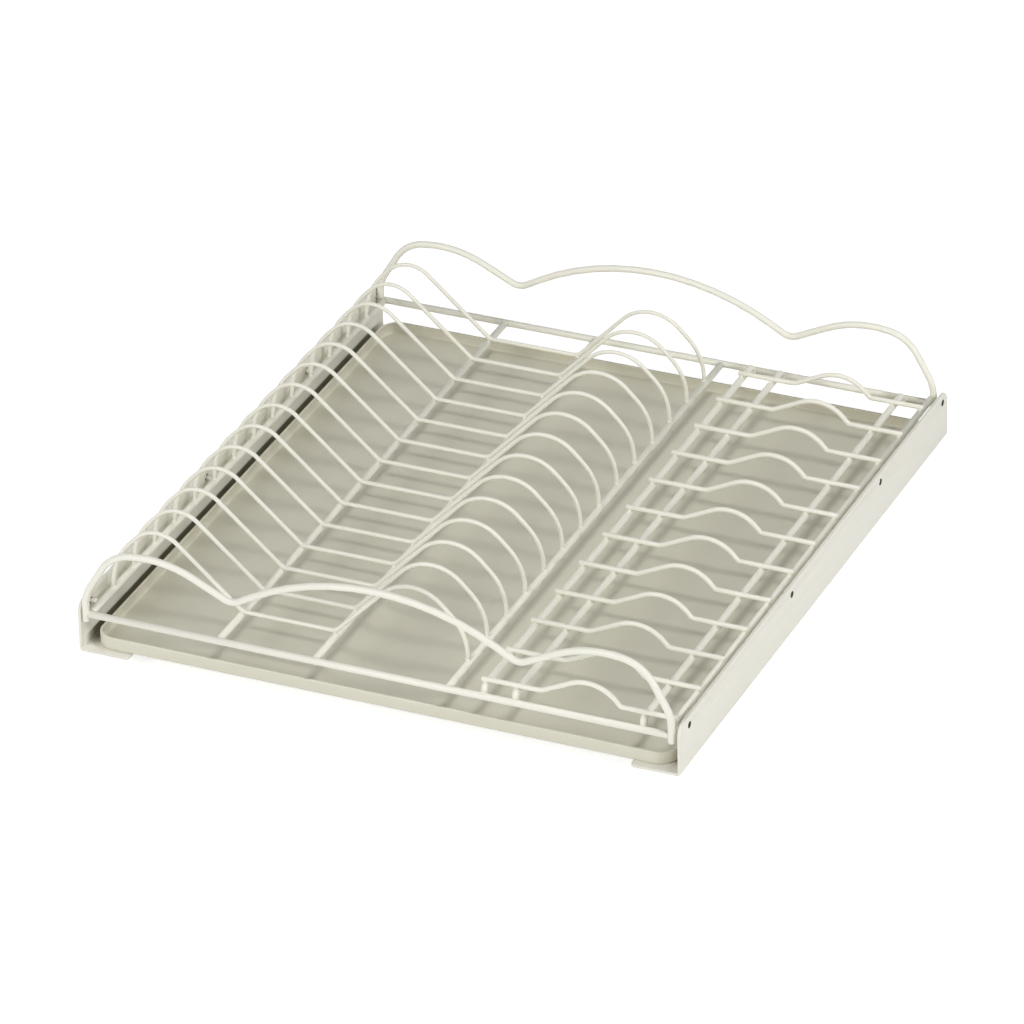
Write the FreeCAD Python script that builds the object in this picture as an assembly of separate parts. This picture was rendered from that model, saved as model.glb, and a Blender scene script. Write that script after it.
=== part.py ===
import FreeCAD
import Part

import math
import os

# Pull-out dish rack for a base cabinet. All lengths are in millimetres.
# X runs left to right, Y from the front edge to the back, Z up.
# The outlines below are written from the left outer face and the front edge
# of the side rails, with Z = 0 on the rails' underside. The function `placed`
# moves each piece so that the origin is the middle of the footprint, on the
# cabinet floor.

# Overall size of the pull-out frame
WIDTH = 440.0
DEPTH = 490.0

# Side rails, bent from sheet
RAIL_SHEET = 2.0
RAIL_H = 38.0
FLANGE_W = 36.0
RAIL_CORNER = 9.0
FLANGE_CORNER = 3.0

# Wire sizes
BAR_D = 5.0
BOWL_D = 3.5
PLATE_D = 3.0
WELD = 0.05

# Flat sides of the wires, and how far a bend's chords may turn or stray
BAR_SIDES = 8
WIRE_SIDES = 6
BEND_STEP = math.radians(23.0)
CHORD_SAG = 0.4

# Rack frame
BAR_Z = 29.0
RAISE = 5.0
BAR_Y = 2.5
REAR_INSET = 9.1
REAR_BAR_Y = DEPTH - REAR_INSET
SIDE_BAR_X = 8.0

# End guards: the legs' distance from each side, then corners and bends
LEFT_LEG_X = 5.0
RIGHT_LEG_X = 7.0
LEG_BOTTOM = 23.5
GUARD_X = [0.0602 * WIDTH, 0.1500 * WIDTH, 0.2625 * WIDTH]
GUARD_LEG_Z = 43.5
GUARD_Z = [78.6, 84.3, 60.1]
GUARD_TOP_Z = 119.5
GUARD_BENDS = [0.0682 * WIDTH, 0.0682 * WIDTH, 0.1773 * WIDTH, 0.0273 * WIDTH]
GUARD_TOP_BEND = 0.4091 * WIDTH

# Rods that run from front to back
PLATE_ROD_X = [0.2361 * WIDTH, 0.3970 * WIDTH, 0.6182 * WIDTH]
BOWL_ROD_X = [0.6750 * WIDTH, 0.7261 * WIDTH, 0.9341 * WIDTH]

# Plate wires: corners of the two humps above the rods, then bends
PLATE_COUNT = 14
PLATE_FIRST_Y = 0.0788 * DEPTH
PLATE_PITCH = 0.06449 * DEPTH
PLATE_RUN = 3.2
LEFT_SHOULDER = 2.4
LEFT_SHOULDER_Z = 55.9
LEFT_HUMP = [0.0970 * WIDTH, 88.2]
RIGHT_HUMP = [0.5255 * WIDTH, 91.2]
RIGHT_SHOULDER_Z = 51.3
PLATE_BENDS = [0.1136, 0.0495, 0.0136, 0.0205, 0.0686, 0.0909]

# Bowl wires: corners of the low hump, then bends
BOWL_COUNT = 12
BOWL_FIRST_Y = 9.6
BOWL_PITCH = 0.08306 * DEPTH
BOWL_HUMP_X = [0.7668 * WIDTH, 0.8580 * WIDTH, 0.8955 * WIDTH]
BOWL_HUMP_RISE = 19.5
BOWL_BENDS = [0.0273, 0.0625, 0.0080]
BOWL_END = 2.5

# Pins that hang the rack in the rails
PIN_D = 3.6
PIN_HOLE_D = 5.0
PIN_RECESS = 1.0
WIRE_CLEAR = PLATE_D / 2.0 + 0.2
PIN_Y = [16.5, 0.4010 * DEPTH, 0.7357 * DEPTH, REAR_BAR_Y]
PIN_Z = 31.0

# Drip tray
TRAY_INSET = 8.0
TRAY_FRONT = 5.0
TRAY_BACK = DEPTH - 6.0
TRAY_H = 9.8
TRAY_SHEET = 1.2
TRAY_CORNER = 14.0
TRAY_HEM = 2.0
TRAY_FOOT = 1.4
TRAY_LIFT = 0.05

# Ball slides that lie flat under the flanges
SLIDE_H = 10.0
SLIDE_W = 30.0
SLIDE_X = 23.0
SLIDE_SHEET = 1.2
SLIDE_FRONT = 34.0
SLIDE_LEN = 446.0
MIDDLE_LEN = SLIDE_LEN - 36.0
CAGE_START = SLIDE_FRONT + 104.0
CAGE_LEN = 208.0
BALL_D = 2.5
BALL_PLAY = 0.05
CAGE_SHEET = 0.8
BALLS_PER_ROW = 3
SCREW_Y = [0.1633 * DEPTH, 0.8367 * DEPTH]
SCREW_D = 3.4
SCREW_HEAD_D = 6.4
FLOOR_HOLE_D = 4.5
FLOOR_HOLE_Y = [SLIDE_FRONT + 20.0, SLIDE_FRONT + SLIDE_LEN - 20.0]
BUFFER_T = 3.0

FLANGE_TOP = RAIL_SHEET
SHIFT = FreeCAD.Vector(-WIDTH / 2.0, -DEPTH / 2.0, SLIDE_H)
UP = FreeCAD.Vector(0, 0, 1)
BACK = FreeCAD.Vector(0, 1, 0)
RIGHT = FreeCAD.Vector(1, 0, 0)


def vec(x, y, z):
    return FreeCAD.Vector(x, y, z)


def placed(shape):
    moved = shape.copy()
    moved.translate(SHIFT)
    return moved


def mirrored(shape):
    return shape.mirror(vec(WIDTH / 2.0, 0, 0), RIGHT)


def save(name, shape):
    placed(shape).exportStep("parts/" + name + ".step")


def rounded_path(corners, radii):
    """Straight runs joined by bends, each bend a few short chords of its arc."""
    points = [corners[0]]
    for i in range(1, len(corners) - 1):
        corner = corners[i]
        into = (corner - corners[i - 1]).normalize()
        out = (corners[i + 1] - corner).normalize()
        turn = into.getAngle(out)
        inward = (out - into).normalize()
        centre = corner + inward * (radii[i - 1] / math.cos(turn / 2.0))
        step = min(BEND_STEP, 2.0 * math.acos(1.0 - CHORD_SAG / radii[i - 1]))
        count = 2 * math.ceil(turn / step / 2.0)
        for k in range(count + 1):
            angle = (k / count - 0.5) * turn
            ray = inward * -math.cos(angle) + (out + into).normalize() * math.sin(angle)
            points.append(centre + ray * radii[i - 1])
    points.append(corners[-1])
    return points


def flat_sided(centre, along, side, diameter, sides):
    """A wire section with flat sides, as thick from flat to flat as the wire."""
    up = along.cross(side).normalize()
    reach = diameter / 2.0 / math.cos(math.pi / sides)
    corners = []
    for i in range(sides):
        angle = math.pi / 2.0 + (2 * i - 1) * math.pi / sides
        corners.append(centre + side * (reach * math.cos(angle)) + up * (reach * math.sin(angle)))
    corners.append(corners[0])
    return Part.makePolygon(corners)


def flat_cone(low, high):
    """The solid between two flat-sided sections, with one flat face per side."""
    a = [v.Point for v in low.OrderedVertexes]
    b = [v.Point for v in high.OrderedVertexes]
    faces = [Part.Face(low), Part.Face(high)]
    for i in range(len(a)):
        j = (i + 1) % len(a)
        faces.append(Part.Face(Part.makePolygon([a[i], a[j], b[j], b[i], a[i]])))
    return Part.Solid(Part.Shell(faces))


def bent_wire(corners, radii, side, diameter, sides):
    """Sweep the flat-sided section along a bent path that lies in one plane."""
    path = Part.makePolygon(rounded_path(corners, radii))
    along = (corners[1] - corners[0]).normalize()
    section = flat_sided(corners[0], along, side, diameter, sides)
    return path.makePipeShell([section], True, False, 1)


def straight_rod(start, end, diameter):
    """A straight bar with eight flat sides, one of them facing up."""
    along = (end - start).normalize()
    side = BACK if abs(along.x) > 0.5 else RIGHT
    section = flat_sided(start, along, side, diameter, BAR_SIDES)
    return Part.Face(section).extrude(end - start)


def rack_bars():
    """The four bars of the frame and the six rods that cross it."""
    r = BAR_D / 2.0
    for name, y in (("front_bar", BAR_Y), ("rear_bar", REAR_BAR_Y)):
        start = vec(LEFT_LEG_X + r - WELD, y, BAR_Z)
        end = vec(WIDTH - RIGHT_LEG_X - r + WELD, y, BAR_Z)
        save(name, straight_rod(start, end, BAR_D))
    near = BAR_Y + r - WELD
    far = REAR_BAR_Y - r + WELD
    left = straight_rod(vec(SIDE_BAR_X, near, BAR_Z), vec(SIDE_BAR_X, far, BAR_Z), BAR_D)
    save("left_side_bar", left)
    right_x = WIDTH - SIDE_BAR_X
    high = BAR_Z + RAISE
    right = straight_rod(vec(right_x, near, high), vec(right_x, far, high), BAR_D)
    save("right_side_bar", right)
    for i, x in enumerate(PLATE_ROD_X):
        rod = straight_rod(vec(x, near, BAR_Z), vec(x, far, BAR_Z), BAR_D)
        save("plate_rod_%d" % (i + 1), rod)
    leg_front = BAR_Y + BAR_D - WELD
    leg_rear = REAR_BAR_Y - BAR_D + WELD
    foot = BAR_Z - 2.0
    for i, x in enumerate(BOWL_ROD_X):
        corners = [vec(x, leg_front, foot), vec(x, leg_front, high)]
        corners += [vec(x, leg_rear, high), vec(x, leg_rear, foot)]
        save("bowl_rod_%d" % (i + 1), bent_wire(corners, [3.0, 3.0], RIGHT, BAR_D, BAR_SIDES))


def galleries():
    """The two wavy end guards, with one low hump each side and a wide one."""
    humps = list(zip(GUARD_X, GUARD_Z))
    outline = [(LEFT_LEG_X, LEG_BOTTOM), (LEFT_LEG_X, GUARD_LEG_Z)] + humps
    outline += [(WIDTH / 2.0, GUARD_TOP_Z)]
    outline += [(WIDTH - x, z) for x, z in reversed(humps)]
    outline += [(WIDTH - RIGHT_LEG_X, GUARD_LEG_Z), (WIDTH - RIGHT_LEG_X, LEG_BOTTOM)]
    radii = GUARD_BENDS + [GUARD_TOP_BEND] + list(reversed(GUARD_BENDS))
    for name, y in (("front_gallery", BAR_Y), ("rear_gallery", REAR_BAR_Y)):
        corners = [vec(x, y, z) for x, z in outline]
        save(name, bent_wire(corners, radii, BACK, BAR_D, BAR_SIDES))


def plate_wires():
    """Two-humped wires; the plates stand between them on the low run."""
    foot = BAR_Z + BAR_D / 2.0 - WELD
    run = BAR_Z + PLATE_RUN
    first_corner = PLATE_ROD_X[0] + 1.5
    second_corner = PLATE_ROD_X[1] - 0.5
    last_foot = PLATE_ROD_X[2] - 0.8
    outline = [(SIDE_BAR_X, foot), (SIDE_BAR_X + LEFT_SHOULDER, LEFT_SHOULDER_Z), LEFT_HUMP]
    outline += [(first_corner, run), (second_corner, run), RIGHT_HUMP]
    outline += [(last_foot, RIGHT_SHOULDER_Z), (last_foot, foot)]
    radii = [share * WIDTH for share in PLATE_BENDS]
    corners = [vec(x, PLATE_FIRST_Y, z) for x, z in outline]
    wire = bent_wire(corners, radii, BACK, PLATE_D, WIRE_SIDES)
    for i in range(PLATE_COUNT):
        copy = wire.copy()
        copy.translate(BACK * (i * PLATE_PITCH))
        save("plate_wire_%02d" % (i + 1), copy)


def bowl_wires():
    """Level wires with one low hump that bowls and cups lean on."""
    run = BAR_Z + RAISE + BAR_D / 2.0 + BOWL_D / 2.0 - WELD
    start, top, end = BOWL_HUMP_X
    outline = [(BOWL_ROD_X[0] - BOWL_END, run), (start, run), (top, run + BOWL_HUMP_RISE)]
    outline += [(end, run), (WIDTH - SIDE_BAR_X + BOWL_END, run)]
    radii = [share * WIDTH for share in BOWL_BENDS]
    corners = [vec(x, BOWL_FIRST_Y, z) for x, z in outline]
    wire = bent_wire(corners, radii, BACK, BOWL_D, WIRE_SIDES)
    for i in range(BOWL_COUNT):
        copy = wire.copy()
        copy.translate(BACK * (i * BOWL_PITCH))
        save("bowl_wire_%02d" % (i + 1), copy)


def side_rail():
    """The left rail: an upright wall with a flange turned in under the tray."""
    wall = Part.makeBox(RAIL_SHEET, DEPTH, RAIL_H)
    top_edges = []
    for edge in wall.Edges:
        middle = edge.BoundBox.Center
        across = edge.BoundBox.XLength > RAIL_SHEET / 2.0 and edge.BoundBox.YLength < 0.1
        if across and edge.BoundBox.ZLength < 0.1 and middle.z > RAIL_H / 2.0:
            top_edges.append(edge)
    wall = wall.makeFillet(RAIL_CORNER, top_edges)
    flange = Part.makeBox(FLANGE_W, DEPTH, RAIL_SHEET)
    inner_edges = []
    for edge in flange.Edges:
        middle = edge.BoundBox.Center
        if edge.BoundBox.ZLength > RAIL_SHEET / 2.0 and middle.x > FLANGE_W / 2.0:
            inner_edges.append(edge)
    flange = flange.makeFillet(FLANGE_CORNER, inner_edges)
    rail = wall.fuse(flange).removeSplitter()
    for y in PIN_Y:
        hole = Part.makeCylinder(PIN_HOLE_D / 2.0, RAIL_SHEET * 3, vec(-RAIL_SHEET, y, PIN_Z), RIGHT)
        rail = rail.cut(hole)
    for y in SCREW_Y:
        rail = rail.cut(screw_solid(y, 0.1))
    return rail


def screw_solid(y, play):
    """A countersunk screw, flush with the flange; with play it is its hole."""
    shank = SCREW_D / 2.0 + play
    head = SCREW_HEAD_D / 2.0 + play
    depth = head - shank
    top = FLANGE_TOP
    bottom = -SLIDE_SHEET - (0.8 if play == 0 else 2.0)
    neck = vec(SLIDE_X, y, top - depth)
    narrow = flat_sided(neck, UP, RIGHT, 2 * shank, BAR_SIDES)
    wide = flat_sided(vec(SLIDE_X, y, top), UP, RIGHT, 2 * head, BAR_SIDES)
    cone = flat_cone(narrow, wide)
    pin = straight_rod(vec(SLIDE_X, y, bottom), neck, 2 * shank)
    return pin.fuse(cone)


def rack_pins():
    """Short pins that hang the rack in the rails: on the side bars and rear legs."""
    pins = []
    high = BAR_Z + RAISE
    for y in PIN_Y:
        left_end = SIDE_BAR_X - WIRE_CLEAR
        right_end = WIDTH - SIDE_BAR_X
        left_metal = straight_rod(vec(SIDE_BAR_X, y - 6, BAR_Z), vec(SIDE_BAR_X, y + 6, BAR_Z), BAR_D)
        right_metal = straight_rod(vec(right_end, y - 6, high), vec(right_end, y + 6, high), BAR_D)
        if y == REAR_BAR_Y:
            left_end = LEFT_LEG_X
            right_end = WIDTH - RIGHT_LEG_X
            left_metal = straight_rod(vec(left_end, y, LEG_BOTTOM), vec(left_end, y, high), BAR_D)
            right_metal = straight_rod(vec(right_end, y, LEG_BOTTOM), vec(right_end, y, high), BAR_D)
        left = straight_rod(vec(PIN_RECESS, y, PIN_Z), vec(left_end, y, PIN_Z), PIN_D)
        pins.append(left.cut(left_metal))
        right = straight_rod(vec(WIDTH - PIN_RECESS, y, PIN_Z), vec(right_end, y, PIN_Z), PIN_D)
        pins.append(right.cut(right_metal))
    return Part.makeCompound(pins)


def drip_tray():
    """A shallow pan with rounded corners and a narrow hem turned in at the rim."""
    floor = FLANGE_TOP + TRAY_LIFT
    outer = pan_block(0.0, floor, TRAY_H, TRAY_FOOT)
    room = pan_block(TRAY_SHEET, floor + TRAY_SHEET, TRAY_H - 2 * TRAY_SHEET, TRAY_FOOT - 0.4)
    mouth = pan_block(TRAY_HEM, floor + TRAY_H / 2.0, TRAY_H, 0.0)
    return outer.cut(room.fuse(mouth)).removeSplitter()


def pan_block(inset, floor, height, foot_cut):
    """A rounded block, set in from the tray's outline on all four sides."""
    side = TRAY_INSET + inset
    front = TRAY_FRONT + inset
    back = TRAY_BACK - inset
    block = Part.makeBox(WIDTH - 2 * side, back - front, height, vec(side, front, floor))
    uprights = [e for e in block.Edges if e.BoundBox.ZLength > height / 2.0]
    block = block.makeFillet(TRAY_CORNER - inset, uprights)
    if foot_cut > 0:
        low = [e for e in block.Edges if e.BoundBox.ZMax < floor + 0.01]
        block = block.makeChamfer(foot_cut, low)
    return block


def channel(half_outer, low, high, length, start, opens_up):
    """A U-shaped slide member with thin walls, along Y."""
    block = Part.makeBox(2 * half_outer, length, high - low, vec(SLIDE_X - half_outer, start, low))
    inner = half_outer - SLIDE_SHEET
    bottom = low + SLIDE_SHEET if opens_up else low - 1.0
    top = high + 1.0 if opens_up else high - SLIDE_SHEET
    room = Part.makeBox(2 * inner, length + 2, top - bottom, vec(SLIDE_X - inner, start - 1, bottom))
    return block.cut(room)


def slides():
    """Cabinet, middle and drawer members with two ball cages, for each side."""
    base = -SLIDE_H
    cabinet_half = SLIDE_W / 2.0
    gap = BALL_D + 2 * BALL_PLAY
    middle_half = cabinet_half - SLIDE_SHEET - gap
    drawer_half = middle_half - SLIDE_SHEET - gap
    cabinet = channel(cabinet_half, base, base + SLIDE_H - 0.8, SLIDE_LEN, SLIDE_FRONT, True)
    tab_y = SLIDE_FRONT + SLIDE_LEN - SLIDE_SHEET
    tab = Part.makeBox(2 * cabinet_half, SLIDE_SHEET, SLIDE_H - 0.8, vec(SLIDE_X - cabinet_half, tab_y, base))
    cabinet = cabinet.fuse(tab).removeSplitter()
    for y in FLOOR_HOLE_Y:
        hole = Part.makeCylinder(FLOOR_HOLE_D / 2.0, SLIDE_SHEET * 3, vec(SLIDE_X, y, base - 1), UP)
        cabinet = cabinet.cut(hole)
    middle = channel(middle_half, base + 2.0, base + 8.8, MIDDLE_LEN, SLIDE_FRONT, True)
    reach = SLIDE_LEN - SLIDE_SHEET - BUFFER_T
    drawer = channel(drawer_half, base + 4.0, 0.0, reach, SLIDE_FRONT, False)
    for y in SCREW_Y:
        drawer = drawer.cut(screw_solid(y, 0.1))
    buffer_y = tab_y - BUFFER_T
    buffer = Part.makeBox(2 * drawer_half, BUFFER_T, 5.0, vec(SLIDE_X - drawer_half, buffer_y, base + 4.2))
    members = {"cabinet_member": cabinet, "middle_member": middle, "drawer_member": drawer}
    rows = {"outer": middle_half + gap / 2.0, "inner": drawer_half + gap / 2.0}
    for kind, row in rows.items():
        strip, balls = ball_cage(row, base)
        members[kind + "_ball_cage"] = strip
        members[kind + "_balls"] = balls
    for name, shape in members.items():
        save("left_" + name, shape)
        save("right_" + name, mirrored(shape))
    save("slide_buffers", Part.makeCompound([buffer, mirrored(buffer)]))


def ball_cage(row, base):
    """Two thin strips joined by a bridge, with a row of balls in each."""
    low = base + 2.0 if row > SLIDE_W / 3.0 else base + 3.9
    web_z = base + 1.3 if row > SLIDE_W / 3.0 else base + 3.3
    mid = base + 6.2
    half = CAGE_SHEET / 2.0
    strips = []
    for side in (-1, 1):
        corner = vec(SLIDE_X + side * row - half, CAGE_START, web_z)
        strips.append(Part.makeBox(CAGE_SHEET, CAGE_LEN, mid + 1.8 - web_z, corner))
    for y in (CAGE_START, CAGE_START + CAGE_LEN - 10.0):
        corner = vec(SLIDE_X - row, y, web_z)
        strips.append(Part.makeBox(2 * row, 10.0, 0.6, corner))
    cage = strips[0].multiFuse(strips[1:]).removeSplitter()
    balls = []
    step = (CAGE_LEN - 30.0) / (BALLS_PER_ROW - 1)
    for side in (-1, 1):
        for i in range(BALLS_PER_ROW):
            centre = vec(SLIDE_X + side * row, CAGE_START + 15.0 + i * step, mid)
            room = BALL_D + 2 * BALL_PLAY
            pocket = Part.makeBox(room, room, room, centre - vec(room / 2.0, room / 2.0, room / 2.0))
            cage = cage.cut(pocket)
            balls.append(ball(centre))
    return cage, Part.makeCompound(balls)


def ball(centre):
    """A ball with flat facets, as wide across them as the real ball."""
    r = BALL_D / 2.0
    block = straight_rod(centre - UP * r, centre + UP * r, BALL_D)
    ends = [e for e in block.Edges if e.BoundBox.ZLength < r]
    return block.makeChamfer(0.55 * r, ends)


os.makedirs("parts", exist_ok=True)
rack_bars()
galleries()
plate_wires()
bowl_wires()
rail = side_rail()
save("left_rail", rail)
save("right_rail", mirrored(rail))
save("rack_pins", rack_pins())
screws = Part.makeCompound([screw_solid(y, 0) for y in SCREW_Y])
save("rail_screws", Part.makeCompound([screws, mirrored(screws)]))
save("drip_tray", drip_tray())
slides()
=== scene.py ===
import math

import bmesh
import bpy
from mathutils import Matrix, Vector

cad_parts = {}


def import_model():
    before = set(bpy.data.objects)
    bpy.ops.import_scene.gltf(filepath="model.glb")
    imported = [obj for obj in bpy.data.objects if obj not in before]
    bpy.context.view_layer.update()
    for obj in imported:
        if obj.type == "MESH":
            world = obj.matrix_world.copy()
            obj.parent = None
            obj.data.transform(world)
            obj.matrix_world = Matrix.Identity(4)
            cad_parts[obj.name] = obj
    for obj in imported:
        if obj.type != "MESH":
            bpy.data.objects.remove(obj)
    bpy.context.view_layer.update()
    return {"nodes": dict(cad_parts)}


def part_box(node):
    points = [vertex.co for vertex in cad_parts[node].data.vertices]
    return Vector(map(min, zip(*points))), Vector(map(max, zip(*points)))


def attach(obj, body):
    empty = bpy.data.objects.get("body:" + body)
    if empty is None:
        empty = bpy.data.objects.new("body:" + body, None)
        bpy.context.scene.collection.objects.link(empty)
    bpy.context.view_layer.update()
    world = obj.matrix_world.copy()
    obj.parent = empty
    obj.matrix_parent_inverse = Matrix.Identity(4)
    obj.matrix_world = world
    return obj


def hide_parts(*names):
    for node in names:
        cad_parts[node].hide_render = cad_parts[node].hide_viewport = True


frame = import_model()

# Lengths are in millimetres from the rails' left outer face (x), the front
# edge (y) and the rails' underside (z), as in the CAD source.
WIDTH = 440.0
DEPTH = 490.0
SLIDE_H = 10.0

# Side rails of folded sheet
RAIL_SHEET = 2.0
RAIL_H = 38.0
FLANGE_W = 36.0
RAIL_CORNER = 9.0
FLANGE_CORNER = 3.0
FOLD_OUTER_R = 2.6
FOLD_INNER_R = 0.6
FOLD_STEPS = 6
RAIL_EASE = 0.35

# Bars and rods: the right side bar and the bowl rods lie at HIGH_Z
BAR_D = 5.0
BAR_R = BAR_D / 2
BAR_Z = 29.0
HIGH_Z = BAR_Z + 5.0
FRONT_BAR_Y = 2.5
REAR_BAR_Y = 480.9
SIDE_BAR_X = 8.0
PLATE_ROD_X = [103.88, 174.68, 272.0]
BOWL_ROD_X = [297.0, 319.48, 411.0]
BOWL_ROD_FOOT = BAR_Z - 2.0
BOWL_ROD_BEND = 3.0
ROD_NEAR = FRONT_BAR_Y + BAR_R
ROD_FAR = REAR_BAR_Y - BAR_R

# Guards: the corners (x, z) from the left leg to the middle, and their radii
LEFT_LEG_X = 5.0
RIGHT_LEG_X = 7.0
LEG_BOTTOM = 23.5
LEG_TOP = 43.5
GUARD_WAVE = [(26.49, 78.6), (66.0, 84.3), (115.5, 60.1)]
GUARD_BENDS = [30.0, 30.0, 78.0, 12.0]
GUARD_TOP = 119.5
GUARD_TOP_BEND = 180.0
BAR_ENDS_X = (LEFT_LEG_X + BAR_R, WIDTH - RIGHT_LEG_X - BAR_R)

# Plate wires: their row, and the corners (x, z) and radii of one wire
PLATE_D = 3.0
PLATE_COUNT = 14
PLATE_FIRST_Y = 38.61
PLATE_PITCH = 31.6
PLATE_Y = [PLATE_FIRST_Y + i * PLATE_PITCH for i in range(PLATE_COUNT)]
PLATE_FOOT_Z = BAR_Z + BAR_R
PLATE_RUN_Z = BAR_Z + 3.2
PLATE_LAST_X = PLATE_ROD_X[2] - 0.8
PLATE_CORNERS = [
    (SIDE_BAR_X, PLATE_FOOT_Z),
    (SIDE_BAR_X + 2.4, BAR_Z + 26.9),
    (42.7, 88.2),
    (PLATE_ROD_X[0] + 1.5, PLATE_RUN_Z),
    (PLATE_ROD_X[1] - 0.5, PLATE_RUN_Z),
    (231.2, 91.2),
    (PLATE_LAST_X, 51.3),
    (PLATE_LAST_X, PLATE_FOOT_Z),
]
PLATE_BENDS = [50.0, 21.8, 6.0, 9.0, 30.2, 40.0]

# Bowl wires, in the same way
BOWL_D = 3.5
BOWL_COUNT = 12
BOWL_FIRST_Y = 9.6
BOWL_PITCH = 40.7
BOWL_Y = [BOWL_FIRST_Y + i * BOWL_PITCH for i in range(BOWL_COUNT)]
BOWL_RUN_Z = HIGH_Z + BAR_R + BOWL_D / 2
BOWL_CORNERS = [
    (BOWL_ROD_X[0] - 2.5, BOWL_RUN_Z),
    (337.4, BOWL_RUN_Z),
    (377.5, BOWL_RUN_Z + 19.5),
    (394.0, BOWL_RUN_Z),
    (WIDTH - SIDE_BAR_X + 2.5, BOWL_RUN_Z),
]
BOWL_BENDS = [12.0, 27.5, 3.5]

# Length over which a wire's ends are eased: in general, where it butts against
# a bar, and on the plate wires
END_TRIM = 0.5
BUTT_TRIM = 0.1
PLATE_TRIM = 0.2
ARC_STEP = math.radians(5)

# Weld beads: half their size along x, y and z
FOOT_BEAD = (2.0, 2.1, 1.0)
TROUGH_BEAD = (1.6, 2.1, 0.9)
TROUGH_BEAD_X = (PLATE_ROD_X[0] + 0.6, PLATE_ROD_X[1] - 0.6)
BOWL_BEAD = (1.9, 2.3, 0.9)
ROD_END_BEAD = (2.4, 1.0, 2.4)
BAR_END_BEAD = (1.0, 2.4, 2.4)

# Pins: how far both ends lie inside the outer face of the rail that holds them
PIN_D = 3.6
PIN_HOLE_D = 5.0
PIN_Y = [16.5, 196.5, 360.5, REAR_BAR_Y]
PIN_Z = 31.0
PIN_END = [1.7, 1.7, 1.0, 1.7]
LEFT_PIN_ROOT = [6.3, 6.3, 6.3, LEFT_LEG_X]
RIGHT_PIN_ROOT = [SIDE_BAR_X, SIDE_BAR_X, SIDE_BAR_X, RIGHT_LEG_X]

# Drip tray. Its rim runs over the top from outside to inside, as an inset from
# the tray's edge and a drop from its top.
TRAY_INSET = 8.0
TRAY_FRONT = 5.0
TRAY_BACK = 484.0
TRAY_H = 9.8
TRAY_CORNER = 14.0
TRAY_CORNER_STEPS = 12
TRAY_BASE = 2.05
TRAY_SHEET = 1.2
TRAY_OUTER_R = 1.8
TRAY_INNER_R = 1.6
TRAY_RIM = [
    (0.0, 0.9),
    (0.1, 0.5),
    (0.35, 0.2),
    (0.7, 0.05),
    (1.05, 0.0),
    (1.4, 0.06),
    (1.8, 0.22),
    (2.0, 0.55),
    (1.85, 1.0),
    (1.4, 1.3),
    (1.25, 1.5),
]
# Insets of the floor's two flat faces, and how far the upper one dips
BELOW_INSET = 5.0
ABOVE_INSET = 6.0
FLOOR_DIP = 0.02

# Slides, screws and balls
SLIDE_X = 23.0
SCREW_Y = [80.0, 410.0]
SCREW_HOLE_R = 1.8
SCREW_SIDES = 24
SHANK_R = 1.6
SHANK_Z = (-1.8, 0.6)
HEAD_R = (1.7, 3.1)
HEAD_Z = (0.6, 2.0)
CROSS_SLOT = (0.7, 3.2)
CROSS_Z = (1.0, 3.0)
BALL_D = 2.5
BALLS_IN_ROW = 3
CAD_EASE = 0.25

# How far the tools that cut the rails reach
CUT_PAST = 5.0
CUT_SPAN = (-10.0, 60.0)
PIN_CUT_X = (-4.0, 6.0)
SCREW_CUT_Z = (-3.0, 5.0)

# Painted shade along the rails' inner fold: a darker colour that stands for the
# shadow in the crevice between rail and tray. Each pair says, in metres, where
# it starts and where it is full: across and along from the middle, and up.
FOLD_PAINTED_SHADE = (0.20, 0.185, 0.13, 1)
FOLD_SHADE_ACROSS = [(0.2065, 0.2115), (0.2190, 0.2186)]
FOLD_SHADE_UP = [(0.0108, 0.0114), (0.0200, 0.0185)]
FOLD_SHADE_ALONG = (0.240, 0.226)

# Most of what a noise texture gives lies between these values.
NOISE_SPAN = (0.3, 0.7)

# Light from the sky at the horizon and overhead, and the heights between which
# it changes; the floor's own glow; and the lamps, each with its place in
# metres, size and power
SKY_LOW = 0.74
SKY_TOP = 0.05
SKY_SPAN = (0.0, 0.9)
FLOOR_GLOW = 0.6
LAMPS = [
    ("key", (-1.0, -2.5, 1.2), 1.2, 35),
    ("side", (2.5, -0.9, 1.05), 0.6, 21),
    ("top", (0.75, 0.1, 1.8), 0.36, 11),
]

# The camera at the photograph's angle: azimuth 24.50, elevation 29.95 and a
# roll of -1.56 degrees, about five metres away with a long lens.
CAMERA_AT = (2083.66, -3861.59, 2621.46)
CAMERA_RIGHT = (0.91526, 0.40217, -0.02359)
CAMERA_UP = (-0.18218, 0.46541, 0.86614)
CAMERA_BACK = (0.35931, -0.78845, 0.49924)
FOCAL_PX = 7542.0
PHOTO_PX = 1024
SENSOR_MM = 36.0


def at(x, y, z):
    """A point of the lengths above, in the row frame in metres."""
    return Vector(((x - WIDTH / 2) / 1000, (y - DEPTH / 2) / 1000, (z + SLIDE_H) / 1000))


# Shader helpers


def new_material(name):
    mat = bpy.data.materials.new(name)
    mat.use_nodes = True
    nodes = mat.node_tree.nodes
    return mat, nodes, mat.node_tree.links, nodes["Principled BSDF"]


def feed(links, socket, value):
    """Link another node's output to a socket, or set a plain value on it."""
    if isinstance(value, bpy.types.NodeSocket):
        links.new(value, socket)
    else:
        socket.default_value = value


def calc(nodes, links, operation, *values):
    node = nodes.new("ShaderNodeMath")
    node.operation = operation
    for socket, value in zip(node.inputs, values):
        feed(links, socket, value)
    return node.outputs["Value"]


def blend(nodes, links, factor, first, second, kind="RGBA"):
    """The first value where the factor is 0, and the second where it is 1."""
    mix = nodes.new("ShaderNodeMix")
    mix.data_type = kind
    links.new(factor, mix.inputs["Factor"])
    feed(links, mix.inputs["A"], first)
    feed(links, mix.inputs["B"], second)
    return mix.outputs["Result"]


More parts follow.
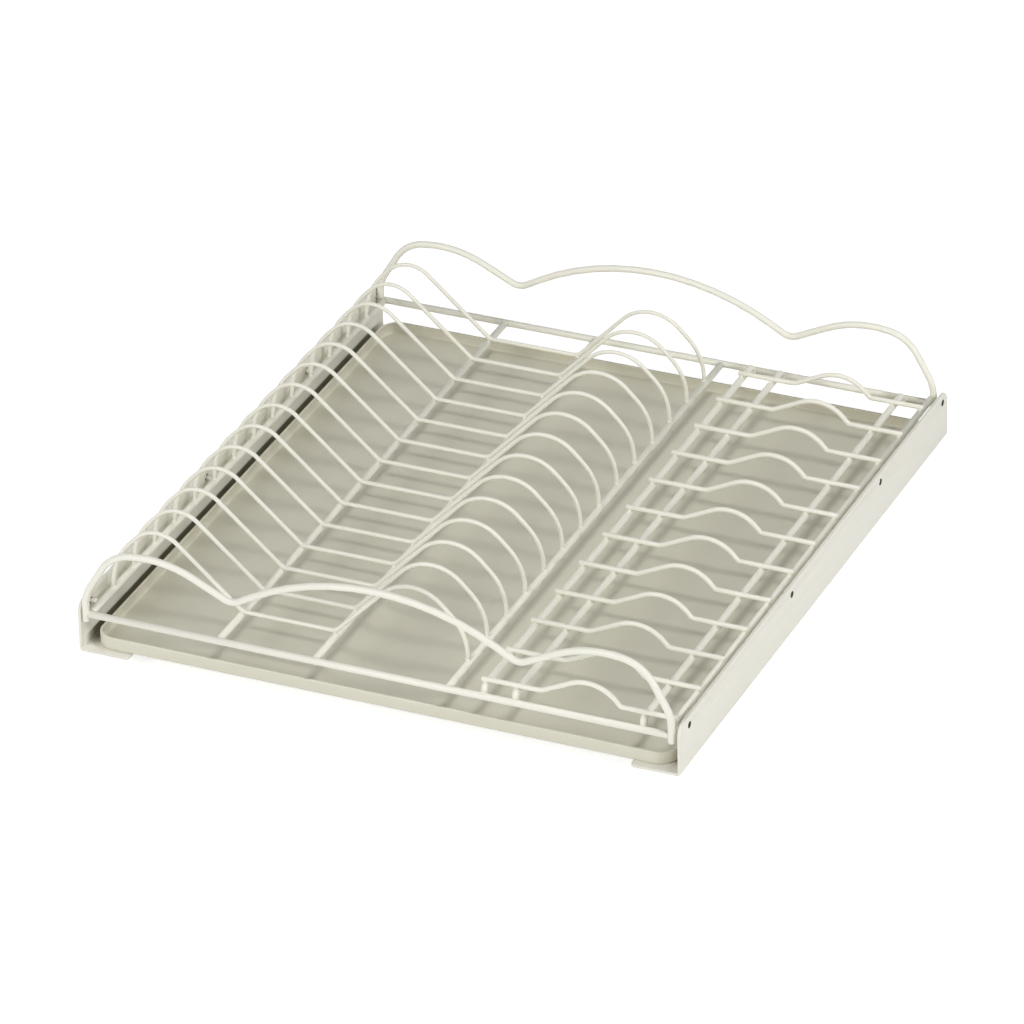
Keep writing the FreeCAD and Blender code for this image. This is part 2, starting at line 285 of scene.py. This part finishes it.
def remap(nodes, links, source, span, low=0.0, high=1.0):
    """Low where the source is at the span's start, high at its end, held beyond."""
    node = nodes.new("ShaderNodeMapRange")
    node.inputs["From Min"].default_value = span[0]
    node.inputs["From Max"].default_value = span[1]
    node.inputs["To Min"].default_value = low
    node.inputs["To Max"].default_value = high
    links.new(source, node.inputs["Value"])
    return node.outputs["Result"]


def object_place(nodes):
    return nodes.new("ShaderNodeTexCoord").outputs["Object"]


def noise(nodes, links, place, scale, detail):
    tex = nodes.new("ShaderNodeTexNoise")
    tex.inputs["Scale"].default_value = scale
    tex.inputs["Detail"].default_value = detail
    links.new(place, tex.inputs["Vector"])
    return tex.outputs["Fac"]


def bump(nodes, links, height, strength, distance):
    node = nodes.new("ShaderNodeBump")
    node.inputs["Strength"].default_value = strength
    node.inputs["Distance"].default_value = distance
    links.new(height, node.inputs["Height"])
    return node.outputs["Normal"]


# Materials


def powder(name, pale, deep, rough):
    """A satin powder coat: fine orange peel, and a slow drift of tone."""
    mat, nodes, links, bsdf = new_material(name)
    place = object_place(nodes)
    drift = noise(nodes, links, place, scale=14.0, detail=3.0)
    peel = noise(nodes, links, place, scale=2600.0, detail=2.0)
    colour = blend(nodes, links, drift, (*deep, 1), (*pale, 1))
    normal = bump(nodes, links, peel, strength=0.22, distance=0.00006)
    gloss = remap(nodes, links, peel, NOISE_SPAN, rough - 0.05, rough + 0.07)
    links.new(colour, bsdf.inputs["Base Color"])
    links.new(normal, bsdf.inputs["Normal"])
    links.new(gloss, bsdf.inputs["Roughness"])
    bsdf.inputs["Specular IOR Level"].default_value = 0.32
    bsdf.inputs["Coat Weight"].default_value = 0.04
    bsdf.inputs["Coat Roughness"].default_value = 0.35
    return mat


def paint_fold_shade(mat):
    """Painted shade: a thin darker tone along the rails' inner fold, standing for the crevice's
    shadow, fading at both ends.
    """
    nodes, links = mat.node_tree.nodes, mat.node_tree.links
    split = nodes.new("ShaderNodeSeparateXYZ")
    links.new(object_place(nodes), split.inputs["Vector"])
    across = calc(nodes, links, "ABSOLUTE", split.outputs["X"])
    along = calc(nodes, links, "ABSOLUTE", split.outputs["Y"])
    limits = [(across, span) for span in FOLD_SHADE_ACROSS]
    limits += [(split.outputs["Z"], span) for span in FOLD_SHADE_UP]
    limits += [(along, FOLD_SHADE_ALONG)]
    depth = 1.0
    for source, span in limits:
        depth = calc(nodes, links, "MULTIPLY", depth, remap(nodes, links, source, span))
    base = nodes["Principled BSDF"].inputs["Base Color"]
    coat_colour = base.links[0].from_socket
    # The painted shade goes over the coat's colour where the mask is full
    links.new(blend(nodes, links, depth, coat_colour, FOLD_PAINTED_SHADE), base)


def plated(name, pale, deep, rough, grain):
    """Bright plated or bare steel with a faint rolling grain along Y."""
    mat, nodes, links, bsdf = new_material(name)
    stretch = nodes.new("ShaderNodeMapping")
    stretch.inputs["Scale"].default_value = (grain, grain * 0.03, grain)
    links.new(object_place(nodes), stretch.inputs["Vector"])
    streaks = noise(nodes, links, stretch.outputs["Vector"], scale=1.0, detail=4.0)
    colour = blend(nodes, links, streaks, (*deep, 1), (*pale, 1))
    normal = bump(nodes, links, streaks, strength=0.15, distance=0.00004)
    gloss = remap(nodes, links, streaks, NOISE_SPAN, rough - 0.06, rough + 0.08)
    links.new(colour, bsdf.inputs["Base Color"])
    links.new(normal, bsdf.inputs["Normal"])
    links.new(gloss, bsdf.inputs["Roughness"])
    bsdf.inputs["Metallic"].default_value = 1.0
    return mat


def rubber():
    """Matt black rubber with a fine grain."""
    mat, nodes, links, bsdf = new_material("buffer_rubber")
    grain = noise(nodes, links, object_place(nodes), scale=900.0, detail=3.0)
    colour = blend(nodes, links, grain, (0.010, 0.010, 0.011, 1), (0.022, 0.022, 0.023, 1))
    normal = bump(nodes, links, grain, strength=0.3, distance=0.0001)
    links.new(colour, bsdf.inputs["Base Color"])
    links.new(normal, bsdf.inputs["Normal"])
    bsdf.inputs["Roughness"].default_value = 0.7
    return mat


COAT = powder("wire_coat", (0.86, 0.845, 0.75), (0.83, 0.815, 0.72), 0.42)
RAIL_COAT = powder("rail_coat", (0.80, 0.785, 0.70), (0.77, 0.755, 0.67), 0.44)
TRAY_COAT = powder("tray_coat_look", (0.68, 0.66, 0.55), (0.645, 0.625, 0.52), 0.40)
# Painted shade for the walls of the rails' pin holes
BORE_PAINTED_SHADE = powder("bore_shade", (0.11, 0.10, 0.075), (0.07, 0.065, 0.05), 0.6)
ZINC = plated("zinc_look", (0.72, 0.73, 0.75), (0.60, 0.61, 0.63), 0.32, 900.0)
CAGE = plated("strip_look", (0.60, 0.60, 0.61), (0.48, 0.48, 0.49), 0.38, 700.0)
BALL = plated("ball_look", (0.80, 0.80, 0.82), (0.70, 0.70, 0.73), 0.16, 300.0)
RUBBER = rubber()

# Painted shade along the rails' inner fold, mixed into the rail coat
paint_fold_shade(RAIL_COAT)


# Building helpers


def finish_piece(obj, mat, body, nodes):
    """Give a piece its material and body, and the CAD nodes it replaces."""
    obj.data.materials.clear()
    obj.data.materials.append(mat)
    if nodes:
        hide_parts(*nodes)
    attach(obj, body)


def link(name, data):
    obj = bpy.data.objects.new(name, data)
    bpy.context.scene.collection.objects.link(obj)
    return obj


def mesh_object(name, bm):
    """An object with what the bmesh holds; the bmesh is freed."""
    mesh = bpy.data.meshes.new(name)
    bm.to_mesh(mesh)
    bm.free()
    return link(name, mesh)


def shade(mesh, angle=32):
    """Smooth shading, with edges sharper than the angle kept sharp."""
    for face in mesh.polygons:
        face.use_smooth = True
    mesh.set_sharp_from_angle(angle=math.radians(angle))


def arc(cx, cy, r, start, end, count=10):
    """Points of an arc, angles in degrees."""
    points = []
    for k in range(count + 1):
        a = math.radians(start + (end - start) * k / count)
        points.append((cx + r * math.cos(a), cy + r * math.sin(a)))
    return points


def rounded_path(corners, bends):
    """Straight runs joined by smooth arcs, as points."""
    points = [corners[0]]
    for i, radius in enumerate(bends, 1):
        into = (corners[i] - corners[i - 1]).normalized()
        out = (corners[i + 1] - corners[i]).normalized()
        turn = into.angle(out)
        inward = (out - into).normalized()
        onward = (out + into).normalized()
        centre = corners[i] + inward * (radius / math.cos(turn / 2))
        count = max(4, math.ceil(turn / ARC_STEP))
        for k in range(count + 1):
            angle = (k / count - 0.5) * turn
            ray = inward * -math.cos(angle) + onward * math.sin(angle)
            points.append(centre + ray * radius)
    points.append(corners[-1])
    return points


def wire(name, outline, bends, diameter, trim):
    """A round wire along a bent path, with its cut ends slightly eased."""
    points = rounded_path([Vector(p) for p in outline], bends)
    first = (points[1] - points[0]).normalized()
    last = (points[-2] - points[-1]).normalized()
    # Distance from the end, and the share of the full radius there
    ease = [(0.0, 1.0 - trim / diameter), (trim * 0.35, 0.93), (trim, 1.0)]
    head = [(points[0] + first * d, s) for d, s in ease]
    tail = [(points[-1] + last * d, s) for d, s in reversed(ease)]
    full = head + [(p, 1.0) for p in points[1:-1]] + tail
    data = bpy.data.curves.new(name, "CURVE")
    data.dimensions = "3D"
    data.bevel_depth = diameter / 2000
    data.bevel_resolution = 5
    data.use_fill_caps = True
    data.twist_mode = "MINIMUM"
    spline = data.splines.new("POLY")
    spline.points.add(len(full) - 1)
    for point, (p, s) in zip(spline.points, full):
        point.co = (*at(*p), 1)
        point.radius = s
    spline.use_smooth = True
    return link(name, data)


def prism(name, outline, low, high, axis):
    """A flat outline pushed out along an axis; used as stock and as a cutter."""
    bm = bmesh.new()
    index = "xyz".index(axis)
    verts = []
    for pair in outline:
        corner = list(pair)
        corner.insert(index, low)
        verts.append(bm.verts.new(at(*corner)))
    grown = bmesh.ops.extrude_face_region(bm, geom=[bm.faces.new(verts)])
    moved = [v for v in grown["geom"] if isinstance(v, bmesh.types.BMVert)]
    push = Vector((0, 0, 0))
    push[index] = (high - low) / 1000
    bmesh.ops.translate(bm, verts=moved, vec=push)
    bmesh.ops.recalc_face_normals(bm, faces=bm.faces)
    return mesh_object(name, bm)


def rod_mesh(name, start, end, radius, sides=32):
    """A plain round cylinder as a mesh, from start to end."""
    a, b = at(*start), at(*end)
    turn = (b - a).to_track_quat("Z", "Y").to_matrix().to_4x4()
    bm = bmesh.new()
    bmesh.ops.create_cone(
        bm,
        cap_ends=True,
        segments=sides,
        radius1=radius / 1000,
        radius2=radius / 1000,
        depth=(b - a).length,
        matrix=Matrix.Translation((a + b) / 2) @ turn,
    )
    return mesh_object(name, bm)


def bake(obj):
    """Make the modifiers part of the mesh."""
    depsgraph = bpy.context.evaluated_depsgraph_get()
    depsgraph.update()
    done = bpy.data.meshes.new_from_object(obj.evaluated_get(depsgraph))
    obj.modifiers.clear()
    obj.data = done


def carve(obj, tools, operation):
    """Apply boolean steps for good and remove the tools."""
    for tool in tools:
        mod = obj.modifiers.new("carve", "BOOLEAN")
        mod.operation = operation
        mod.object = tool
        mod.solver = "EXACT"
        bake(obj)
        bpy.data.objects.remove(tool)


def add_bevel(obj, width):
    """A modifier that rounds every edge sharper than 40 degrees."""
    mod = obj.modifiers.new("eased", "BEVEL")
    mod.width = width / 1000
    mod.segments = 2
    mod.limit_method = "ANGLE"
    mod.angle_limit = math.radians(40)
    mod.material = -1


# Rack frame


def rack_wire(name, node, outline, bends, diameter, trim=END_TRIM):
    piece = wire(name, outline, bends, diameter, trim)
    finish_piece(piece, COAT, "rack", [node])


def cross_bars():
    """The bars at the front and rear, between the guards' legs."""
    for name, y in (("front_bar", FRONT_BAR_Y), ("rear_bar", REAR_BAR_Y)):
        ends = [(x, y, BAR_Z) for x in BAR_ENDS_X]
        rack_wire(name + "_round", name, ends, [], BAR_D, BUTT_TRIM)


def straight_rods():
    """The side bars and the rods under the plate wires."""
    rods = [("left_side_bar", SIDE_BAR_X, BAR_Z), ("right_side_bar", WIDTH - SIDE_BAR_X, HIGH_Z)]
    rods += [("plate_rod_%d" % i, x, BAR_Z) for i, x in enumerate(PLATE_ROD_X, 1)]
    for name, x, z in rods:
        ends = [(x, ROD_NEAR, z), (x, ROD_FAR, z)]
        rack_wire(name + "_round", name, ends, [], BAR_D, BUTT_TRIM)


def bowl_rods():
    """The rods under the bowl wires, bent down to the bars at both ends."""
    front = FRONT_BAR_Y + BAR_D
    rear = REAR_BAR_Y - BAR_D
    path = [(front, BOWL_ROD_FOOT), (front, HIGH_Z), (rear, HIGH_Z), (rear, BOWL_ROD_FOOT)]
    for i, x in enumerate(BOWL_ROD_X, 1):
        name = "bowl_rod_%d" % i
        outline = [(x, y, z) for y, z in path]
        rack_wire(name + "_round", name, outline, [BOWL_ROD_BEND, BOWL_ROD_BEND], BAR_D)


def guards():
    """The wavy guards at the front and rear, with a leg at each end."""
    corners = [(LEFT_LEG_X, LEG_BOTTOM), (LEFT_LEG_X, LEG_TOP)]
    corners += GUARD_WAVE + [(WIDTH / 2, GUARD_TOP)]
    corners += [(WIDTH - x, z) for x, z in reversed(GUARD_WAVE)]
    corners += [(WIDTH - RIGHT_LEG_X, LEG_TOP), (WIDTH - RIGHT_LEG_X, LEG_BOTTOM)]
    bends = GUARD_BENDS + [GUARD_TOP_BEND] + GUARD_BENDS[::-1]
    for name, y in (("front_gallery", FRONT_BAR_Y), ("rear_gallery", REAR_BAR_Y)):
        outline = [(x, y, z) for x, z in corners]
        rack_wire(name + "_round", name, outline, bends, BAR_D)


def wire_row(kind, row, corners, bends, diameter, trim=END_TRIM):
    """A row of equal bent wires, one at each y of the row."""
    for i, y in enumerate(row, 1):
        name = "%s_%02d" % (kind, i)
        outline = [(x, y, z) for x, z in corners]
        rack_wire(name + "_round", name, outline, bends, diameter, trim)


def bead_places():
    """The middle of each weld bead, and its size."""
    places = []
    for y in PLATE_Y:
        places += [((x, y, PLATE_FOOT_Z), FOOT_BEAD) for x in (SIDE_BAR_X, PLATE_LAST_X)]
        places += [((x, y, PLATE_FOOT_Z), TROUGH_BEAD) for x in TROUGH_BEAD_X]
    for y in BOWL_Y:
        for x in BOWL_ROD_X + [WIDTH - SIDE_BAR_X]:
            places.append(((x, y, HIGH_Z + BAR_R), BOWL_BEAD))
    for x in PLATE_ROD_X + BOWL_ROD_X:
        places += [((x, y, BAR_Z), ROD_END_BEAD) for y in (ROD_NEAR, ROD_FAR)]
    for x in BAR_ENDS_X:
        places += [((x, y, BAR_Z), BAR_END_BEAD) for y in (FRONT_BAR_Y, REAR_BAR_Y)]
    return places


def weld_beads():
    """Small coated lumps where the wires were welded to the rods."""
    bm = bmesh.new()
    for middle, size in bead_places():
        scale = Matrix.Diagonal([half / 1000 for half in size] + [1])
        place = Matrix.Translation(at(*middle)) @ scale
        bmesh.ops.create_uvsphere(bm, u_segments=10, v_segments=6, radius=1.0, matrix=place)
    beads = mesh_object("weld_beads", bm)
    shade(beads.data, 180)
    finish_piece(beads, COAT, "rack", [])


def pins():
    """The pins that hang the rack in the rails' holes."""
    for i, y in enumerate(PIN_Y):
        left = (PIN_END[i], LEFT_PIN_ROOT[i])
        right = (WIDTH - PIN_END[i], WIDTH - RIGHT_PIN_ROOT[i])
        for side, ends in (("left", left), ("right", right)):
            outline = [(x, y, PIN_Z) for x in ends]
            rack_wire("%s_pin_%d" % (side, i + 1), "rack_pins", outline, [], PIN_D)


cross_bars()
straight_rods()
bowl_rods()
guards()
wire_row("plate_wire", PLATE_Y, PLATE_CORNERS, PLATE_BENDS, PLATE_D, PLATE_TRIM)
wire_row("bowl_wire", BOWL_Y, BOWL_CORNERS, BOWL_BENDS, BOWL_D)
weld_beads()
pins()


# Side rails


def rail_blank(name):
    """The left rail's folded sheet with rounded corners, before its holes."""
    fold = FOLD_OUTER_R
    section = [(0, RAIL_H), (0, fold)] + arc(fold, fold, fold, 180, 270, FOLD_STEPS)
    section += [(FLANGE_W, 0), (FLANGE_W, RAIL_SHEET)]
    section += arc(fold, fold, FOLD_INNER_R, 270, 180, FOLD_STEPS) + [(RAIL_SHEET, RAIL_H)]
    rail = prism(name, section, 0, DEPTH, "y")
    c = RAIL_CORNER
    upright = arc(c, RAIL_H - c, c, 180, 90) + arc(DEPTH - c, RAIL_H - c, c, 90, 0)
    upright += [(DEPTH, -CUT_PAST), (0, -CUT_PAST)]
    f = FLANGE_CORNER
    level = [(-CUT_PAST, 0)] + arc(FLANGE_W - f, f, f, -90, 0)
    level += arc(FLANGE_W - f, DEPTH - f, f, 0, 90) + [(-CUT_PAST, DEPTH)]
    tools = [prism("cut", upright, *CUT_SPAN, "x"), prism("cut", level, *CUT_SPAN, "z")]
    carve(rail, tools, "INTERSECT")
    return rail


def hole_cutters():
    """Rods where the left rail has its pin holes and screw holes."""
    cutters = []
    for y in PIN_Y:
        near, far = [(x, y, PIN_Z) for x in PIN_CUT_X]
        cutters.append(rod_mesh("cut", near, far, PIN_HOLE_D / 2))
    for y in SCREW_Y:
        low, high = [(SLIDE_X, y, z) for z in SCREW_CUT_Z]
        cutters.append(rod_mesh("cut", low, high, SCREW_HOLE_R))
    return cutters


def paint_bore_shade(rail):
    """Give the walls of the pin holes a dark colour: painted shade that stands for the shadow deep
    in the holes.
    """
    rail.data.materials.append(BORE_PAINTED_SHADE)
    reach = (PIN_HOLE_D / 2 + 0.1) / 1000
    for face in rail.data.polygons:
        for y in PIN_Y:
            off = face.center - at(0, y, PIN_Z)
            if abs(face.normal.x) < 0.5 and math.hypot(off.y, off.z) < reach:
                face.material_index = 1


def side_rail(name, flip):
    rail = rail_blank(name + "_sheet")
    carve(rail, hole_cutters(), "DIFFERENCE")
    if flip:
        rail.data.transform(Matrix.Scale(-1, 4, Vector((1, 0, 0))))
        rail.data.flip_normals()
    add_bevel(rail, RAIL_EASE)
    bake(rail)
    shade(rail.data)
    finish_piece(rail, RAIL_COAT, "rack", [name])
    # Painted shade on the walls of the pin holes
    paint_bore_shade(rail)


side_rail("left_rail", flip=False)
side_rail("right_rail", flip=True)


# Drip tray


def tray_section():
    """The tray's sheet from the outside of its floor over the rim to the inside."""
    bend = TRAY_OUTER_R
    inner = TRAY_SHEET + TRAY_INNER_R
    section = [(BELOW_INSET, TRAY_BASE)]
    section += arc(bend, TRAY_BASE + bend, bend, 270, 180, FOLD_STEPS)
    section += [(inset, TRAY_BASE + TRAY_H - drop) for inset, drop in TRAY_RIM]
    section += arc(inner, TRAY_BASE + inner, TRAY_INNER_R, 180, 270, FOLD_STEPS)
    section += [(ABOVE_INSET, TRAY_BASE + TRAY_SHEET - FLOOR_DIP)]
    return section


def tray_ring(bm, inset, z):
    """The tray's outline at one inset and height, as vertices and closed edges."""
    x0, x1 = TRAY_INSET + inset, WIDTH - TRAY_INSET - inset
    y0, y1 = TRAY_FRONT + inset, TRAY_BACK - inset
    c = TRAY_CORNER - inset
    ring = arc(x1 - c, y0 + c, c, -90, 0, TRAY_CORNER_STEPS)
    ring += arc(x1 - c, y1 - c, c, 0, 90, TRAY_CORNER_STEPS)
    ring += arc(x0 + c, y1 - c, c, 90, 180, TRAY_CORNER_STEPS)
    ring += arc(x0 + c, y0 + c, c, 180, 270, TRAY_CORNER_STEPS)
    verts = [bm.verts.new(at(x, y, z)) for x, y in ring]
    edges = [bm.edges.new(pair) for pair in zip(verts, verts[1:] + verts[:1])]
    return verts, edges


def drip_tray():
    """Rings bridged one by one. No two rings of the rim share a height, because
    bridging such a pair would close the tray's mouth."""
    bm = bmesh.new()
    rings = [tray_ring(bm, inset, z) for inset, z in tray_section()]
    for (_, edges), (_, next_edges) in zip(rings, rings[1:]):
        bmesh.ops.bridge_loops(bm, edges=edges + next_edges)
    bm.faces.new(rings[0][0])
    bm.faces.new(rings[-1][0])
    bmesh.ops.recalc_face_normals(bm, faces=bm.faces)
    tray = mesh_object("drip_tray_pan", bm)
    shade(tray.data, 50)
    finish_piece(tray, TRAY_COAT, "drip_tray", ["drip_tray"])


drip_tray()


# Slides, screws and balls


def cross_recess(x, y):
    """Two flat cutters that make the cross in a screw's head."""
    cutters = []
    for w, d in (CROSS_SLOT, CROSS_SLOT[::-1]):
        x0, x1 = x - w / 2, x + w / 2
        y0, y1 = y - d / 2, y + d / 2
        cutters.append(prism("cut", [(x0, y0), (x1, y0), (x1, y1), (x0, y1)], *CROSS_Z, "z"))
    return cutters


def screw(name, x, y):
    """A countersunk head with a cross recess, flush in the flange."""
    low, high = [(x, y, z) for z in SHANK_Z]
    body = rod_mesh(name, low, high, SHANK_R, SCREW_SIDES)
    bm = bmesh.new()
    bm.from_mesh(body.data)
    bmesh.ops.create_cone(
        bm,
        cap_ends=True,
        segments=SCREW_SIDES,
        radius1=HEAD_R[0] / 1000,
        radius2=HEAD_R[1] / 1000,
        depth=(HEAD_Z[1] - HEAD_Z[0]) / 1000,
        matrix=Matrix.Translation(at(x, y, (HEAD_Z[0] + HEAD_Z[1]) / 2)),
    )
    bm.to_mesh(body.data)
    bm.free()
    carve(body, cross_recess(x, y), "DIFFERENCE")
    shade(body.data)
    finish_piece(body, ZINC, "rack", ["rail_screws"])


def balls(side, kind):
    """Two rows of round balls inside the box of the CAD's flat-sided ones."""
    node = "%s_%s_balls" % (side, kind)
    low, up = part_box(node)
    radius = BALL_D / 2000
    bm = bmesh.new()
    for x in (low.x + radius, up.x - radius):
        for k in range(BALLS_IN_ROW):
            y = low.y + radius + (up.y - low.y - 2 * radius) * k / (BALLS_IN_ROW - 1)
            place = Matrix.Translation((x, y, (low.z + up.z) / 2))
            bmesh.ops.create_uvsphere(bm, u_segments=20, v_segments=12, radius=radius, matrix=place)
    piece = mesh_object(node + "_round", bm)
    shade(piece.data, 180)
    finish_piece(piece, BALL, "%s_%s_cage" % (side, kind), [node])


def dress_node(name, node):
    """A material and eased edges for a CAD node that no piece replaces."""
    for ending, mat in (("_member", ZINC), ("_ball_cage", CAGE), ("slide_buffers", RUBBER)):
        if name.endswith(ending):
            node.data.materials.clear()
            node.data.materials.append(mat)
    add_bevel(node, CAD_EASE)


for side, x in (("left", SLIDE_X), ("right", WIDTH - SLIDE_X)):
    for i, y in enumerate(SCREW_Y, 1):
        screw("%s_screw_%d" % (side, i), x, y)

for side in ("left", "right"):
    for kind in ("outer", "inner"):
        balls(side, kind)

for name, node in frame["nodes"].items():
    if not node.hide_render:
        dress_node(name, node)


# Floor, light and camera


def seen_ray(nodes, links):
    """1 for the rays that the camera, a glossy or a clear surface sends out."""
    path = nodes.new("ShaderNodeLightPath")
    camera_ray, glossy_ray = path.outputs["Is Camera Ray"], path.outputs["Is Glossy Ray"]
    seen = calc(nodes, links, "MAXIMUM", camera_ray, glossy_ray)
    return calc(nodes, links, "MAXIMUM", seen, path.outputs["Is Transmission Ray"])


def floor():
    """A white floor, with a glow of its own that the camera sees."""
    bm = bmesh.new()
    bmesh.ops.create_grid(bm, x_segments=1, y_segments=1, size=6.0)
    obj = mesh_object("floor", bm)
    mat, nodes, links, bsdf = new_material("floor_white")
    bsdf.inputs["Base Color"].default_value = (0.9, 0.9, 0.9, 1)
    bsdf.inputs["Roughness"].default_value = 0.9
    bsdf.inputs["Specular IOR Level"].default_value = 0.0
    bsdf.inputs["Emission Color"].default_value = (1, 1, 1, 1)
    glow = calc(nodes, links, "MULTIPLY", seen_ray(nodes, links), FLOOR_GLOW)
    links.new(glow, bsdf.inputs["Emission Strength"])
    obj.data.materials.append(mat)


def world():
    """A sky that is white to the camera, and dimmer overhead as a light."""
    studio = bpy.data.worlds.new("studio")
    bpy.context.scene.world = studio
    studio.use_nodes = True
    nodes, links = studio.node_tree.nodes, studio.node_tree.links
    split = nodes.new("ShaderNodeSeparateXYZ")
    coords = nodes.new("ShaderNodeTexCoord")
    links.new(coords.outputs["Generated"], split.inputs["Vector"])
    sky = remap(nodes, links, split.outputs["Z"], SKY_SPAN, SKY_LOW, SKY_TOP)
    strength = blend(nodes, links, seen_ray(nodes, links), sky, 1.0, "FLOAT")
    back = nodes["Background"]
    back.inputs["Color"].default_value = (1, 1, 1, 1)
    links.new(strength, back.inputs["Strength"])


def lamp(name, place, size, watts):
    """A round area lamp that points at the middle of the floor."""
    data = bpy.data.lights.new(name, "AREA")
    data.shape = "DISK"
    data.size = size
    data.energy = watts
    obj = link(name, data)
    obj.location = place
    obj.rotation_euler = (-Vector(place)).to_track_quat("-Z", "Y").to_euler()


def photo_camera():
    """The fitted camera, from its place and its three axes."""
    data = bpy.data.cameras.new("camera")
    data.sensor_width = SENSOR_MM
    data.lens = FOCAL_PX / PHOTO_PX * SENSOR_MM
    data.clip_end = 50
    camera = link("camera", data)
    turn = Matrix((CAMERA_RIGHT, CAMERA_UP, CAMERA_BACK)).transposed()
    camera.matrix_world = Matrix.Translation(at(*CAMERA_AT)) @ turn.to_4x4()
    bpy.context.scene.camera = camera


floor()
world()
for lamp_data in LAMPS:
    lamp(*lamp_data)
photo_camera()
bpy.context.scene.view_settings.view_transform = "Standard"
